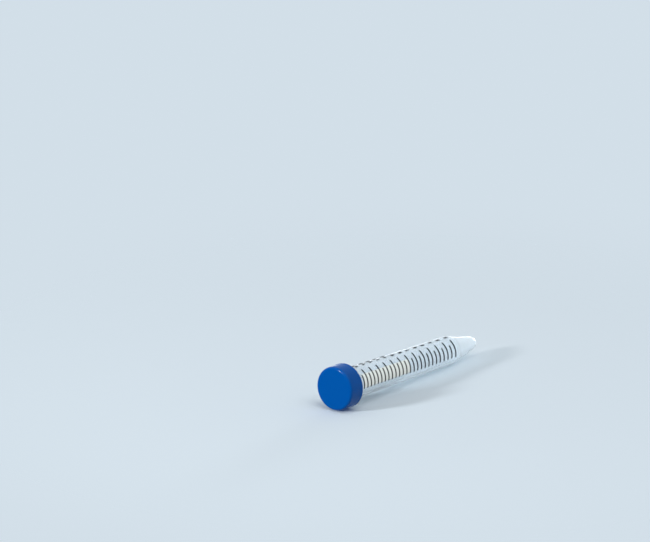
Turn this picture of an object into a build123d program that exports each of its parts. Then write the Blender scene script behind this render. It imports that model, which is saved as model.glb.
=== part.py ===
from build123d import *
import os
from math import ceil, cos, degrees, floor, pi, radians, sin, tan

# A 15 ml conical centrifuge tube with its screw cap. Everything is drawn as the tube is used: Z runs
# up the axis from the lowest point of the tip, and angles about the axis start where the printed
# lines start. The last section stands the closed tube on its cap, as it is kept. Lengths are
# millimetres, angles are degrees and volumes are millilitres.

# ---- Driving dimensions ----

overall_height = 120.0

# The tube, moulded in one piece: cone, barrel and threaded neck
tip_radius = 3.8
cone_half_angle = 12.0
cone_wall = 0.87
shoulder_radius = 7.91
shoulder_round = 2.0
barrel_wall = 1.12
neck_radius = 8.5
neck_below_cap = 0.6
rim_round = 0.3

# The screw thread, one right-hand start
thread_pitch = 3.0
ridge_height = 1.25
ridge_base = 1.2
ridge_flank_angle = 14.0
ridge_root_depth = 0.25
ridge_below_rim = 1.3
ridge_above_skirt_end = 0.3
thread_crest_gap = 0.35
thread_flank_gap = 0.15

# The cap, moulded in one piece
cap_height = 9.9
cap_roof = 1.6
cap_skirt_wall = 1.7
cap_edge_round = 1.4
cap_bead_height = 1.3
cap_bead_proud = 0.12
cap_bead_round = 0.3
cap_mouth_chamfer = 0.4

# The soft disc that the cap presses on the rim
seal_thickness = 0.8
seal_side_gap = 0.3

# The printed scale
ink_thickness = 0.05
ink_clearance = 0.005
line_width = 0.85
long_line_angle = 73.2
short_line_angle = 52.2
mark_step_ml = 0.5
scale_clear_of_cap = 4.0
scale_clear_of_shoulder = 1.2
number_height = 2.6
number_stroke = 0.62
number_start_angle = 87.5
number_advance = 2.3
patch_foot_ml = 8.0
patch_start_angle = 2.5
patch_end_angle = 54.0

# How the tube stands: the angle that faces the front, the middle of the lines and numbers together
front_angle = 58.0

# The type that the digits are drawn in, at the size at which it draws cleanly
type_font = "Relief SingleLine CAD"
type_size = 10.0
type_line_height = 6.7
type_step = 0.5

# ---- Worked out from the driving dimensions ----

on_end = (Align.CENTER, Align.CENTER, Align.MIN)

mouth_z = overall_height - cap_roof - seal_thickness
skirt_end_z = overall_height - cap_height
neck_foot_z = skirt_end_z - neck_below_cap

neck_crest_radius = neck_radius + ridge_height
cap_bore_radius = neck_crest_radius + thread_crest_gap
cap_radius = cap_bore_radius + cap_skirt_wall
seal_radius = cap_bore_radius - seal_side_gap

# The cap's ridge lies under the neck's, a flank gap away, where it pulls the cap down.
ridge_slope = tan(radians(ridge_flank_angle))
ridge_overlap_width = ridge_base - ridge_slope * (cap_bore_radius - neck_radius)
ridge_offset = ridge_overlap_width + thread_flank_gap
cap_ridge_low_z = skirt_end_z + ridge_above_skirt_end + ridge_base / 2
cap_ridge_high_z = mouth_z - thread_flank_gap - ridge_base / 2
neck_ridge_low_z = cap_ridge_low_z + ridge_offset
neck_ridge_high_z = mouth_z - ridge_below_rim - ridge_base / 2


def shoulder_point(barrel_inset, cone_inset):
    """Radius and height where the cone meets the barrel, on the outside moved inwards."""
    angle = radians(cone_half_angle)
    radius = shoulder_radius - barrel_inset
    nose = tip_radius - cone_inset
    return radius, tip_radius + (radius - nose / cos(angle)) / tan(angle)


def turned_body(barrel_inset, cone_inset, corner_round, top_z):
    """The solid inside the tube's outline moved inwards, from the tip to top_z."""
    nose = tip_radius - cone_inset
    top_radius = neck_radius - barrel_inset
    shoulder = shoulder_point(barrel_inset, cone_inset)
    tip = CenterArc((0, tip_radius), nose, -90, 90 - cone_half_angle)
    side = Polyline(tip @ 1, shoulder, (top_radius, neck_foot_z), (top_radius, top_z))
    lid = Polyline(side @ 1, (0, top_z), tip @ 0)
    profile = make_face(tip + side + lid)
    corner = profile.vertices().sort_by_distance(Vector(*shoulder))[0]
    profile = fillet(corner, corner_round)
    return revolve(Plane.XZ * profile, Axis.Z)


def thread_ridge(wall_radius, outwards, low_z, high_z):
    """One ridge up a right-hand helix, standing outwards (1) or inwards (-1) from a wall."""
    root = wall_radius - outwards * ridge_root_depth
    crest = wall_radius + outwards * ridge_height
    half_root = ridge_base / 2 + ridge_slope * ridge_root_depth
    half_crest = ridge_base / 2 - ridge_slope * ridge_height
    outline = Polyline(
        (root, half_root),
        (crest, half_crest),
        (crest, -half_crest),
        (root, -half_root),
        close=True,
    )
    path = Helix(thread_pitch, high_z - low_z, wall_radius)
    return Pos(0, 0, low_z) * sweep(Plane.XZ * make_face(outline), path=path, is_frenet=True)


# ---- Tube ----

def make_tube():
    outside = turned_body(0, 0, shoulder_round, mouth_z)
    bore = turned_body(barrel_wall, cone_wall, shoulder_round, mouth_z + barrel_wall)
    wall = outside - bore
    rim = wall.edges().filter_by(GeomType.CIRCLE).group_by(Axis.Z)[-1]
    wall = fillet(rim, rim_round)
    return wall + thread_ridge(neck_radius, 1, neck_ridge_low_z, neck_ridge_high_z)


# ---- Screw cap ----

def make_screw_cap():
    skirt = Pos(0, 0, skirt_end_z) * Cylinder(cap_radius, cap_height, align=on_end)
    skirt = fillet(skirt.edges().group_by(Axis.Z)[-1], cap_edge_round)
    bead = Cylinder(cap_radius + cap_bead_proud, cap_bead_height, align=on_end)
    bead = fillet(bead.edges().filter_by(GeomType.CIRCLE).group_by(Axis.Z)[0], cap_bead_round)
    bead = chamfer(bead.edges().filter_by(GeomType.CIRCLE).group_by(Axis.Z)[-1], cap_bead_proud)
    body = skirt + Pos(0, 0, skirt_end_z) * bead
    bore = Cylinder(cap_bore_radius, cap_height - cap_roof, align=on_end)
    body -= Pos(0, 0, skirt_end_z) * bore
    mouth = body.edges().filter_by(GeomType.CIRCLE).group_by(Axis.Z)[0].sort_by(SortBy.RADIUS)[0]
    body = chamfer(mouth, cap_mouth_chamfer)
    return body + thread_ridge(cap_bore_radius, -1, cap_ridge_low_z, cap_ridge_high_z)


# ---- Seal disc ----

def make_seal_disc():
    return Pos(0, 0, mouth_z) * Cylinder(seal_radius, seal_thickness, align=on_end)


# ---- Printed scale ----

barrel_foot_z = shoulder_point(0, 0)[1]
barrel_taper = (neck_radius - shoulder_radius) / (neck_foot_z - barrel_foot_z)
bore_foot_radius, bore_foot_z = shoulder_point(barrel_wall, cone_wall)


def barrel_radius_at(height):
    return shoulder_radius + barrel_taper * (height - barrel_foot_z)


def volume_below_bore_foot():
    """What the rounded tip and the cone hold: a slice of a ball and a cut cone."""
    angle = radians(cone_half_angle)
    nose = tip_radius - cone_wall
    ball_depth = nose * (1 - sin(angle))
    ball = pi * ball_depth**2 * (nose - ball_depth / 3)
    low = nose * cos(angle)
    high = bore_foot_radius
    cone = pi * (high**3 - low**3) / (3 * tan(angle))
    return (ball + cone) / 1000


def height_of(volume):
    """How high this many millilitres reach in the barrel, whose bore widens steadily."""
    above = 1000 * (volume - volume_below_bore_foot())
    radius = (bore_foot_radius**3 + 3 * barrel_taper * above / pi) ** (1 / 3)
    return bore_foot_z + (radius - bore_foot_radius) / barrel_taper


def scale_marks():
    """Every marked volume whose line lies clear of the shoulder and of the cap."""
    low_z = barrel_foot_z + scale_clear_of_shoulder
    high_z = skirt_end_z - scale_clear_of_cap
    largest = ceil(pi * neck_radius**2 * mouth_z / 1000 / mark_step_ml)
    volumes = [step * mark_step_ml for step in range(1, largest)]
    inside = [ml for ml in volumes if ml > volume_below_bore_foot()]
    return [ml for ml in inside if low_z < height_of(ml) < high_z]


def whole_marks():
    return [volume for volume in scale_marks() if volume == floor(volume)]


def ink_band(low_z, high_z, thickness, start_angle, end_angle):
    """A printed field on the barrel, between two heights and two angles."""
    low_radius = barrel_radius_at(low_z) + ink_clearance
    high_radius = barrel_radius_at(high_z) + ink_clearance
    outline = Polyline(
        (low_radius, low_z),
        (low_radius + thickness, low_z),
        (high_radius + thickness, high_z),
        (high_radius, high_z),
        close=True,
    )
    band = revolve(Plane.XZ * make_face(outline), Axis.Z, end_angle - start_angle)
    return Rot(0, 0, start_angle) * band


def make_writing_patch():
    low_z = height_of(patch_foot_ml) - line_width / 2
    high_z = height_of(scale_marks()[-1]) + line_width / 2
    return ink_band(low_z, high_z, ink_thickness, patch_start_angle, patch_end_angle)


def make_graduation_lines(patch):
    """Lines over the patch: a second coat there, and on the bare wall as high as that coat."""
    lines = []
    for volume in scale_marks():
        angle = long_line_angle if volume in whole_marks() else short_line_angle
        low_z = height_of(volume) - line_width / 2
        line = ink_band(low_z, low_z + line_width, 2 * ink_thickness, 0, angle)
        lines.append(line - patch)
    return Compound(children=lines)


def digit_face(character):
    """A plain stroke digit: its outlines at the size of the type, made as tall as it is printed."""
    shrink = (number_height - number_stroke) / type_line_height
    stroke = number_stroke / shrink
    drawn = Text(character, type_size, type_font, single_line_width=stroke, align=Align.CENTER)
    outlines = []
    for wire in drawn.wires():
        steps = ceil(wire.length / type_step)
        stops = [step * wire.length / steps for step in range(steps)]
        spots = [wire.position_at(stop, PositionMode.LENGTH) * shrink for stop in stops]
        outlines.append(make_face(Polyline(spots, close=True)))
    outlines.sort(key=lambda outline: -outline.area)
    return outlines[0] - outlines[1:] if outlines[1:] else outlines[0]


def make_graduation_numbers():
    """Each digit is pressed straight onto the barrel, its centre facing outwards."""
    coat = ink_band(barrel_foot_z, neck_foot_z, 2 * ink_thickness, 0, 360)
    faces = {character: digit_face(character) for character in "0123456789"}
    digits = []
    for volume in whole_marks():
        height = height_of(volume)
        radius = barrel_radius_at(height)
        for place, character in enumerate(str(int(volume))):
            angle = number_start_angle + degrees((place + 0.5) * number_advance / radius)
            outwards = Vector(1, 0, 0).rotate(Axis.Z, angle)
            along = Vector(0, 1, 0).rotate(Axis.Z, angle)
            centre = outwards * radius + Vector(0, 0, height)
            spot = Plane(centre, x_dir=along, z_dir=outwards)
            stamp = extrude(spot * faces[character], barrel_wall, both=True)
            digits.append(stamp & coat)
    return Compound(children=digits)


# ---- Standing the tube on its cap ----

# The tip is up, and the printed scale faces the front, -Y.
scale_start = Vector(0, -1, 0).rotate(Axis.Z, front_angle)
standing = Plane((0, 0, overall_height), x_dir=scale_start, z_dir=(0, 0, -1))

patch = make_writing_patch()
nodes = {
    "tube": make_tube(),
    "screw_cap": make_screw_cap(),
    "seal_disc": make_seal_disc(),
    "writing_patch": patch,
    "graduation_lines": make_graduation_lines(patch),
    "graduation_numbers": make_graduation_numbers(),
}

os.makedirs("parts", exist_ok=True)
for name, shape in nodes.items():
    export_step(standing.location * shape, f"parts/{name}.step")

print("marks (ml, height above the floor):")
print([(volume, round(overall_height - height_of(volume), 2)) for volume in scale_marks()])
print("shoulder, height above the floor:", round(overall_height - barrel_foot_z, 2))
print("cap radius:", round(cap_radius, 3))
print("volumes of plastic, mm3:", {name: round(shape.volume, 1) for name, shape in nodes.items()})
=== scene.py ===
from math import asin, atan2, ceil, cos, pi, radians, sin, tan

import bpy
from mathutils import Matrix, Vector


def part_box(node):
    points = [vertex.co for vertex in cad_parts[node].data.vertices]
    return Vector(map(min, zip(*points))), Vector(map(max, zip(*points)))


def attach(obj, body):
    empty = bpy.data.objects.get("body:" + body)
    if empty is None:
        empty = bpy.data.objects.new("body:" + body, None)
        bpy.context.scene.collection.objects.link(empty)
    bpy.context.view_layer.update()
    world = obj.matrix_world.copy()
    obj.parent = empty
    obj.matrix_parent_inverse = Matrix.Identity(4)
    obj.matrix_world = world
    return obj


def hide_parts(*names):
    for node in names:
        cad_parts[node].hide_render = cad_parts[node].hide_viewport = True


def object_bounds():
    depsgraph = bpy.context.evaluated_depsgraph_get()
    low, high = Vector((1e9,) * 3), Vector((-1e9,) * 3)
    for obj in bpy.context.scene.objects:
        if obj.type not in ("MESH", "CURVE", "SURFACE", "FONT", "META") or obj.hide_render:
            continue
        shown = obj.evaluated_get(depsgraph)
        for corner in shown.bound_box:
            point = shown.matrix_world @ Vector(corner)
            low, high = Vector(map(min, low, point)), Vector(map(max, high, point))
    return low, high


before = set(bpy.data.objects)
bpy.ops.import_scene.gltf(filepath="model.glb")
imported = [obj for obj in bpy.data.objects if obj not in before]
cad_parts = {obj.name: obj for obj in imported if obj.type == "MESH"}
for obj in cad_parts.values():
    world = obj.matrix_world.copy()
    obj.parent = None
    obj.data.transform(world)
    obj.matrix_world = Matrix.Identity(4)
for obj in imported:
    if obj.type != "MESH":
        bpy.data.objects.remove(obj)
cad_low, cad_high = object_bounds()
bpy.ops.object.select_all(action="DESELECT")

# ---- Tube ----
# The tube itself: a barrel with a slight draft, a cone with a rounded tip, and a threaded neck. It
# is injection moulded in one shot of natural polypropylene. The closed tube stands on its cap, so
# the mouth is at the bottom of the frame and the tip at the top.

tip_height = cad_high.z
mouth_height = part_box("tube")[0].z
cap_open_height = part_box("screw_cap")[1].z
tip_radius = 0.0038
cone_slope = radians(12)
cone_wall = 0.00087
shoulder_radius = 0.00791
shoulder_round = 0.002
barrel_wall = 0.00112
neck_radius = 0.0085
neck_below_cap = 0.0006
neck_end_height = cap_open_height + neck_below_cap
rim_round = 0.0003
sides = 160
arc_step = radians(6)
sharpest_smooth = radians(25)
on_axis = 0.000001


def rounded(corners):
    """The outline through corners given as (radius, height, rounding), each corner an arc."""
    points = []
    for i, (radius, height, rounding) in enumerate(corners):
        corner = Vector((radius, height))
        if not rounding:
            points.append(corner)
            continue
        back = (Vector(corners[i - 1][:2]) - corner).normalized()
        ahead = (Vector(corners[i + 1][:2]) - corner).normalized()
        turn = pi - back.angle(ahead)
        reach = rounding * tan(turn / 2)
        centre = corner + (back + ahead).normalized() * rounding / cos(turn / 2)
        first = corner + back * reach - centre
        last = corner + ahead * reach - centre
        steps = ceil(turn / arc_step)
        for step in range(steps + 1):
            swept = turn * step / steps
            points.append(centre + (first * sin(turn - swept) + last * sin(swept)) / sin(turn))
    return points


def pull_ring(old, new):
    """Extrudes the selected ring from old to new, both (radius, height); on the axis it closes."""
    bpy.ops.mesh.extrude_region_move(TRANSFORM_OT_translate={"value": (0, 0, new.y - old.y)})
    if new.x > 0:
        size = new.x / old.x
        bpy.ops.transform.resize(value=(size, size, 1), center_override=(0, 0, new.y))
    else:
        bpy.ops.mesh.merge(type="CENTER")


def turned(name, corners):
    """A closed turned solid: a ring pulled along an outline that starts and ends on the axis."""
    points = rounded(corners)
    rings = [point for point in points if point.x > on_axis]
    foot, top = Vector((0, points[0].y)), Vector((0, points[-1].y))
    bpy.ops.mesh.primitive_circle_add(
        vertices=sides, radius=rings[0].x, location=(0, 0, rings[0].y),
    )
    piece = bpy.context.object
    piece.name = name
    bpy.ops.object.transform_apply()
    bpy.ops.object.mode_set(mode="EDIT")
    bpy.ops.mesh.select_mode(type="EDGE")
    bpy.ops.mesh.select_all(action="SELECT")
    for old, new in zip(rings, [*rings[1:], top]):
        pull_ring(old, new)
    bpy.ops.mesh.select_all(action="DESELECT")
    bpy.ops.mesh.select_non_manifold()
    pull_ring(rings[0], foot)
    bpy.ops.mesh.select_all(action="SELECT")
    bpy.ops.mesh.normals_make_consistent(inside=False)
    bpy.ops.object.mode_set(mode="OBJECT")
    return piece


def shoulder(inset, cone_inset):
    """Radius and height where the barrel meets the cone, on the outside moved inwards."""
    radius = shoulder_radius - inset
    nose = (tip_radius - cone_inset) / cos(cone_slope)
    return radius, tip_height - tip_radius - (radius - nose) / tan(cone_slope)


def nose(inset):
    """The corner that the rounded tip cuts off, as (radius, height, rounding)."""
    radius = tip_radius - inset
    return radius * tan((pi / 2 - cone_slope) / 2), tip_height - inset, radius


# The thread is one right-hand ridge, one and a quarter turns round the neck, on a pitch of 3 mm.
thread_pitch = 0.003
ridge_height = 0.00125
ridge_base = 0.0012
ridge_flank = radians(14)
ridge_crest = ridge_base - 2 * ridge_height * tan(ridge_flank)
ridge_root = 0.0003
ridge_end_turn = radians(40)
ridge_end_drop = 0.9
thread_start = radians(-32)
neck_ridge_low = 0.0043
neck_ridge_high = 0.00805


def add_thread(piece, wall_radius, outwards, low, high):
    """Joins a ridge up a right-hand helix to a wall, standing outwards (1) or inwards (-1)."""
    turned_by = 2 * pi * (high - low) / thread_pitch
    root = wall_radius - outwards * ridge_root
    crest = wall_radius + outwards * ridge_height
    bpy.ops.mesh.primitive_plane_add(size=1, rotation=(pi / 2, 0, 0))
    ridge = bpy.context.object
    bpy.ops.object.transform_apply()
    on_crest = [corner.co.x > 0 for corner in ridge.data.vertices]
    for corner, high_side in zip(ridge.data.vertices, on_crest):
        corner.co.x = crest if high_side else root
        corner.co.z *= ridge_crest if high_side else ridge_base
    bpy.ops.object.mode_set(mode="EDIT")
    bpy.ops.mesh.delete(type="ONLY_FACE")
    bpy.ops.object.mode_set(mode="OBJECT")
    screw = ridge.modifiers.new("helix", "SCREW")
    screw.angle = turned_by
    screw.screw_offset = high - low
    screw.steps = screw.render_steps = steps = ceil(turned_by / (2 * pi) * sides)
    bpy.ops.object.modifier_apply(modifier="helix")
    # Both ends run out into the wall: the crest sinks over the last stretch of the helix.
    corners = len(on_crest)
    for i, corner in enumerate(ridge.data.vertices):
        swept = turned_by * (i // corners) / steps
        sunk = 1 - min(1, swept / ridge_end_turn, (turned_by - swept) / ridge_end_turn)
        if on_crest[i % corners]:
            corner.co.xy *= 1 + (root / crest - 1) * ridge_end_drop * sunk**2
    bpy.ops.object.mode_set(mode="EDIT")
    bpy.ops.mesh.select_all(action="SELECT")
    bpy.ops.mesh.fill_holes(sides=corners)
    bpy.ops.mesh.normals_make_consistent(inside=False)
    bpy.ops.object.mode_set(mode="OBJECT")
    foot_turn = Matrix.Rotation(thread_start - turned_by, 4, "Z")
    ridge.matrix_world = Matrix.Translation((0, 0, low)) @ foot_turn
    union = piece.modifiers.new("thread", "BOOLEAN")
    union.operation = "UNION"
    union.solver = "EXACT"
    union.object = ridge
    bpy.context.view_layer.objects.active = piece
    bpy.ops.object.modifier_apply(modifier="thread")
    bpy.data.objects.remove(ridge)
    bpy.ops.object.select_all(action="DESELECT")
    piece.select_set(True)
    bpy.ops.object.shade_smooth_by_angle(angle=sharpest_smooth)
    bpy.ops.object.select_all(action="DESELECT")


tube = turned("tube_moulding", [
    (0, tip_height, 0),
    nose(0),
    (*shoulder(0, 0), shoulder_round),
    (neck_radius, neck_end_height, 0),
    (neck_radius, mouth_height, rim_round),
    (neck_radius - barrel_wall, mouth_height, rim_round),
    (neck_radius - barrel_wall, neck_end_height, 0),
    (*shoulder(barrel_wall, cone_wall), shoulder_round),
    nose(cone_wall),
    (0, tip_height - cone_wall, 0),
])
add_thread(tube, neck_radius, 1, neck_ridge_low, neck_ridge_high)


def srgb(code):
    """A colour written as six hex digits, as the shader's linear red, green, blue and alpha."""
    parts = [int(code[i:i + 2], 16) / 255 for i in (1, 3, 5)]
    return [c / 12.92 if c <= 0.04045 else ((c + 0.055) / 1.055) ** 2.4 for c in parts] + [1]


def add_node(material, kind, settings=(), links=()):
    """Adds a node, sets its values or properties by name, and links its inputs to outputs."""
    node = material.node_tree.nodes.new(kind)
    for name, value in dict(settings).items():
        if name in node.inputs:
            node.inputs[name].default_value = value
        else:
            setattr(node, name, value)
    for name, output in dict(links).items():
        material.node_tree.links.new(output, node.inputs[name])
    return node


def new_material(name):
    """A material with nothing in it but its output."""
    material = bpy.data.materials.new(name)
    material.use_nodes = True
    material.node_tree.nodes.clear()
    return material, add_node(material, "ShaderNodeOutputMaterial")


def finish_material(material, output, shader):
    material.node_tree.links.new(shader, output.inputs["Surface"])
    return material


# Natural polypropylene, injection moulded: it has no dye, and its crystals scatter some light, so a
# wall of 1 mm is clear with a milky haze, and the cone, which cools slower, is whiter.
def polypropylene():
    material, output = new_material("natural_polypropylene_moulded")
    place = add_node(material, "ShaderNodeTexCoord").outputs["Object"]
    height = add_node(material, "ShaderNodeSeparateXYZ", links={"Vector": place}).outputs["Z"]
    cone_foot = shoulder(0, 0)[1]
    haze_start, haze_end = cone_foot - 0.003, cone_foot + 0.004
    clear_barrel, clear_cone = 0.8, 0.65
    clear = add_node(material, "ShaderNodeMapRange", {
        "From Min": haze_start, "From Max": haze_end, "To Min": clear_barrel, "To Max": clear_cone,
    }, {"Value": height}).outputs["Result"]
    flow_wavelength = 0.008
    flow = add_node(material, "ShaderNodeTexNoise", {"Scale": 1 / flow_wavelength, "Detail": 0}, {
        "Vector": place,
    })
    bump = add_node(material, "ShaderNodeBump", {"Strength": 0.1, "Distance": 0.00003}, {
        "Height": flow.outputs["Fac"],
    })
    wall = add_node(material, "ShaderNodeBsdfPrincipled", {
        "Base Color": srgb("#F3F9FD"), "Roughness": 0.12, "IOR": 1.49,
    }, {"Transmission Weight": clear, "Normal": bump.outputs["Normal"]})
    # Lamps shine through the wall, a little dimmer at each face, so the shadow is light.
    lamp_share = add_node(material, "ShaderNodeBsdfTransparent", {"Color": srgb("#DCDFE0")})
    shadow_ray = add_node(material, "ShaderNodeLightPath").outputs["Is Shadow Ray"]
    mix = add_node(material, "ShaderNodeMixShader", links={
        0: shadow_ray, 1: wall.outputs["BSDF"], 2: lamp_share.outputs["BSDF"],
    })
    return finish_material(material, output, mix.outputs["Shader"])


tube.data.materials.append(polypropylene())
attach(tube, "tube_body")
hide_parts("tube")

# ---- Printed scale ----
# A white writing field and, over it, black lines at every half millilitre and a number at every
# whole one. They are screen printed on the barrel, in two coats of ink that cure to a matte film.


def ink(name, code, speckle):
    """A matte film of screen ink, with the faint mottle that the mesh of the screen leaves."""
    material, output = new_material(name)
    place = add_node(material, "ShaderNodeTexCoord").outputs["Object"]
    mesh_pitch = 0.00025
    mottle = add_node(material, "ShaderNodeTexNoise", {"Scale": 1 / mesh_pitch, "Detail": 1}, {
        "Vector": place,
    })
    dark = srgb(code)
    light = [min(1, part * (1 + speckle) + speckle / 20) for part in dark]
    film = add_node(material, "ShaderNodeMix", {"data_type": "RGBA"}, {
        "Factor": mottle.outputs["Fac"],
    })
    film.inputs[6].default_value = dark
    film.inputs[7].default_value = light
    bump = add_node(material, "ShaderNodeBump", {"Strength": 0.1, "Distance": 0.00002}, {
        "Height": mottle.outputs["Fac"],
    })
    shader = add_node(material, "ShaderNodeBsdfPrincipled", {
        "Roughness": 0.5, "Specular IOR Level": 0.02,
    }, {"Base Color": film.outputs[2], "Normal": bump.outputs["Normal"]})
    return finish_material(material, output, shader.outputs["BSDF"])


black_ink = ink("black_screen_ink", "#15181C", 0.3)
white_ink = ink("white_screen_ink", "#F2FAF8", 0.02)
for node, film in (
    ("writing_patch", white_ink),
    ("graduation_lines", black_ink),
    ("graduation_numbers", black_ink),
):
    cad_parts[node].data.materials.clear()
    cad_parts[node].data.materials.append(film)

# ---- Seal disc ----
# A soft white disc in the roof of the cap, which the cap presses on the tube's rim. It is punched
# from foamed polyethylene sheet, and a thread's width of play lets it turn in the cap.

disc_low, disc_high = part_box("seal_disc")
disc_edge_round = 0.00015
disc = turned("sealing_disc", [
    (0, disc_low.z, 0),
    (disc_high.x, disc_low.z, disc_edge_round),
    (disc_high.x, disc_high.z, disc_edge_round),
    (0, disc_high.z, 0),
])
disc.select_set(True)
bpy.ops.object.shade_smooth_by_angle(angle=sharpest_smooth)
bpy.ops.object.select_all(action="DESELECT")


def foam():
    material, output = new_material("polyethylene_foam_punched")
    place = add_node(material, "ShaderNodeTexCoord").outputs["Object"]
    cell = 0.0003
    cells = add_node(material, "ShaderNodeTexVoronoi", {"Scale": 1 / cell}, {"Vector": place})
    bump = add_node(material, "ShaderNodeBump", {"Strength": 0.3, "Distance": 0.00005}, {
        "Height": cells.outputs["Distance"],
    })
    shader = add_node(material, "ShaderNodeBsdfPrincipled", {
        "Base Color": srgb("#EEEDE8"), "Roughness": 0.7, "IOR": 1.5,
    }, {"Normal": bump.outputs["Normal"]})
    return finish_material(material, output, shader.outputs["BSDF"])


disc.data.materials.append(foam())
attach(disc, "seal")
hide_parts("seal_disc")

# ---- Screw cap ----
# A plain cap with a flat top, a smooth side and a thin bead round its open end. It is injection
# moulded in blue high-density polyethylene and screws down over the neck.

cap_radius = 0.0118
cap_edge_round = 0.0014
cap_roof = disc_low.z
cap_bore_radius = 0.0101
cap_mouth_chamfer = 0.0004
bead_proud = 0.00012
bead_height = 0.0013
bead_round = 0.0003
bead_radius = cap_radius + bead_proud
bead_foot = cap_open_height - bead_height
cap_ridge_low = 0.00315
cap_ridge_high = 0.009

cap = turned("cap_moulding", [
    (0, 0, 0),
    (cap_radius, 0, cap_edge_round),
    (cap_radius, bead_foot, 0),
    (bead_radius, bead_foot + bead_proud, 0),
    (bead_radius, cap_open_height, bead_round),
    (cap_bore_radius + cap_mouth_chamfer, cap_open_height, 0),
    (cap_bore_radius, cap_open_height - cap_mouth_chamfer, 0),
    (cap_bore_radius, cap_roof, 0),
    (0, cap_roof, 0),
])
add_thread(cap, cap_bore_radius, -1, cap_ridge_low, cap_ridge_high)


def blue_polyethylene():
    """Dyed polyethylene from a lightly blasted mould: a deep blue with a low gloss."""
    material, output = new_material("blue_polyethylene_moulded")
    place = add_node(material, "ShaderNodeTexCoord").outputs["Object"]
    grain = 0.00018
    blasted = add_node(material, "ShaderNodeTexNoise", {"Scale": 1 / grain, "Detail": 2}, {
        "Vector": place,
    }).outputs["Fac"]
    rough = add_node(material, "ShaderNodeMapRange", {"To Min": 0.1, "To Max": 0.18}, {
        "Value": blasted,
    })
    bump = add_node(material, "ShaderNodeBump", {"Strength": 0.15, "Distance": 0.00003}, {
        "Height": blasted,
    })
    shader = add_node(material, "ShaderNodeBsdfPrincipled", {
        "Base Color": srgb("#004C99"), "IOR": 1.54, "Specular IOR Level": 0.1,
    }, {"Roughness": rough.outputs["Result"], "Normal": bump.outputs["Normal"]})
    return finish_material(material, output, shader.outputs["BSDF"])


cap.data.materials.append(blue_polyethylene())
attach(cap, "cap")
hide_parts("screw_cap")

# ---- The bench ----
# The part is kept standing on its cap, and pictured lying on a bench, where it rests on the bead of
# the cap and on the shoulder. Bench axes run X from the cap to the tip and Z up, from the point
# under the middle of the cap's top, and lying turns them into the frame's axes.

bead_centre = Vector((bead_radius - bead_round, cap_open_height - bead_round))
shoulder_centre = Vector(shoulder(shoulder_round, shoulder_round))
span = shoulder_centre - bead_centre
nose_down = atan2(-span.x, span.y) - asin((shoulder_round - bead_round) / span.length)
cap_top_height = bead_round + bead_centre.x * cos(nose_down) + bead_centre.y * sin(nose_down)
scale_from_top = radians(99.9)
lying = (
    Matrix.Rotation(thread_start - pi - scale_from_top, 4, "Z")
    @ Matrix.Rotation(-pi / 2 - nose_down, 4, "Y")
    @ Matrix.Translation((0, 0, -cap_top_height))
)
tube_middle = Vector((tip_height / 2, 0, 0))

# ---- Floor and bench top ----
# Two sheets of plain pale card, one under the standing part and one under the pictured part. Each
# shows only from its upper side, takes shadows but casts none, and fades out into the backdrop.

card_colour = "#C8D4DD"
card_size = 0.7
card_fade_start = 0.12
card_fade_end = 0.33


def card():
    material, output = new_material("pale_card")
    place = add_node(material, "ShaderNodeTexCoord").outputs["Object"]
    away = add_node(material, "ShaderNodeVectorMath", {"operation": "LENGTH"}, {
        0: place,
    }).outputs["Value"]
    gone = add_node(material, "ShaderNodeMapRange", {
        "From Min": card_fade_start, "From Max": card_fade_end, "interpolation_type": "SMOOTHSTEP",
    }, {"Value": away}).outputs["Result"]
    ray = add_node(material, "ShaderNodeLightPath").outputs
    behind = add_node(material, "ShaderNodeNewGeometry").outputs["Backfacing"]
    for unseen in (behind, ray["Is Shadow Ray"], ray["Is Diffuse Ray"]):
        gone = add_node(material, "ShaderNodeMath", {"operation": "MAXIMUM"}, {
            0: gone, 1: unseen,
        }).outputs["Value"]
    surface = add_node(material, "ShaderNodeBsdfDiffuse", {"Color": srgb(card_colour)})
    clear = add_node(material, "ShaderNodeBsdfTransparent")
    mix = add_node(material, "ShaderNodeMixShader", links={
        0: gone, 1: surface.outputs["BSDF"], 2: clear.outputs["BSDF"],
    })
    return finish_material(material, output, mix.outputs["Shader"])


pale_card = card()
floor_gap = 0.00002
for name, place in (
    ("floor", Matrix.Translation((0, 0, -floor_gap))),
    ("bench_top", lying @ Matrix.Translation(tube_middle)),
):
    bpy.ops.mesh.primitive_plane_add(size=card_size)
    sheet = bpy.context.object
    sheet.name = name
    sheet.matrix_world = place
    sheet.data.materials.append(pale_card)

# ---- Light ----
# Soft studio light: an even pale surround and three soft boxes, over the bench, beyond the cap and
# beyond the tip, which is above the standing part. A small box and a strip, both faint, draw the
# highlight along the upper edge of the cone and the barrel.

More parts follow.
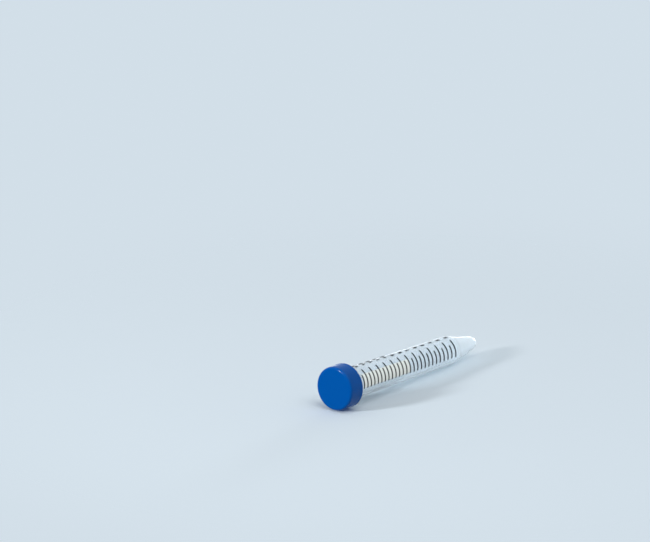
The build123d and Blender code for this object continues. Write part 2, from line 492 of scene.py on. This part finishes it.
surround_light = 0.5
light_on_card = 1.12
lamp_distance = 3.0
world = bpy.data.worlds.new("studio")
world.use_nodes = True
world.node_tree.nodes.clear()
bpy.context.scene.world = world
ray = add_node(world, "ShaderNodeLightPath").outputs
seen = ray["Is Camera Ray"]
for other in ("Is Glossy Ray", "Is Transmission Ray"):
    seen = add_node(world, "ShaderNodeMath", {"operation": "MAXIMUM"}, {
        0: seen, 1: ray[other],
    }).outputs["Value"]
surround = add_node(world, "ShaderNodeBackground", {
    "Color": srgb("#FFFFFF"), "Strength": surround_light,
})
backdrop = add_node(world, "ShaderNodeBackground", {
    "Color": srgb(card_colour), "Strength": light_on_card,
})
mix = add_node(world, "ShaderNodeMixShader", links={
    0: seen, 1: surround.outputs["Background"], 2: backdrop.outputs["Background"],
})
add_node(world, "ShaderNodeOutputWorld", links={"Surface": mix.outputs["Shader"]})


def soft_box(name, direction, size, level):
    """A lamp (width, height) towards direction, in bench axes, adding level to a white card."""
    towards = Vector(direction).normalized()
    bpy.ops.object.light_add(type="AREA")
    lamp = bpy.context.object
    lamp.name = name
    lamp.data.shape = "RECTANGLE"
    lamp.data.size, lamp.data.size_y = size
    lamp.data.energy = level * (pi * lamp_distance) ** 2
    lamp.visible_camera = False
    lamp.visible_transmission = False
    turn = towards.to_track_quat("Z", "Y").to_matrix().to_4x4()
    lamp.matrix_world = lying @ Matrix.Translation(tube_middle + towards * lamp_distance) @ turn


soft_box("cap_side_box", (-0.85, 0.35, 0.35), (0.4, 0.4), 0.8)
soft_box("front_box", (-0.1, -0.45, 0.9), (2.2, 2.2), 0.4)
soft_box("tip_side_box", (0.97, 0.2, 0.05), (0.8, 0.8), 0.6)
soft_box("edge_box", (0.88, 0.44, 0.17), (0.4, 0.4), 0.01)
soft_box("far_strip", (0.74, 0.66, 0.0), (1.6, 0.1), 0.02)

# ---- Camera ----
# A long lens, looking down past the cap along the lying tube.

azimuth = radians(-51.39)
elevation = radians(18.35)
distance = 5.5
view_width = 0.34294
aim_left = 0.00465
aim_up = 0.06228

look = Vector((-sin(azimuth) * cos(elevation), cos(azimuth) * cos(elevation), -sin(elevation)))
right = look.cross(Vector((0, 0, 1))).normalized()
up = right.cross(look)
aim = Vector((0, 0, cap_top_height)) - right * aim_left + up * aim_up
bpy.ops.object.camera_add()
camera = bpy.context.object
camera.matrix_world = lying @ (
    Matrix.Translation(aim - look * distance) @ Matrix((right, up, -look)).transposed().to_4x4()
)
camera.data.lens = camera.data.sensor_width * distance / view_width
bpy.context.scene.camera = camera
bpy.context.scene.view_settings.view_transform = "Standard"
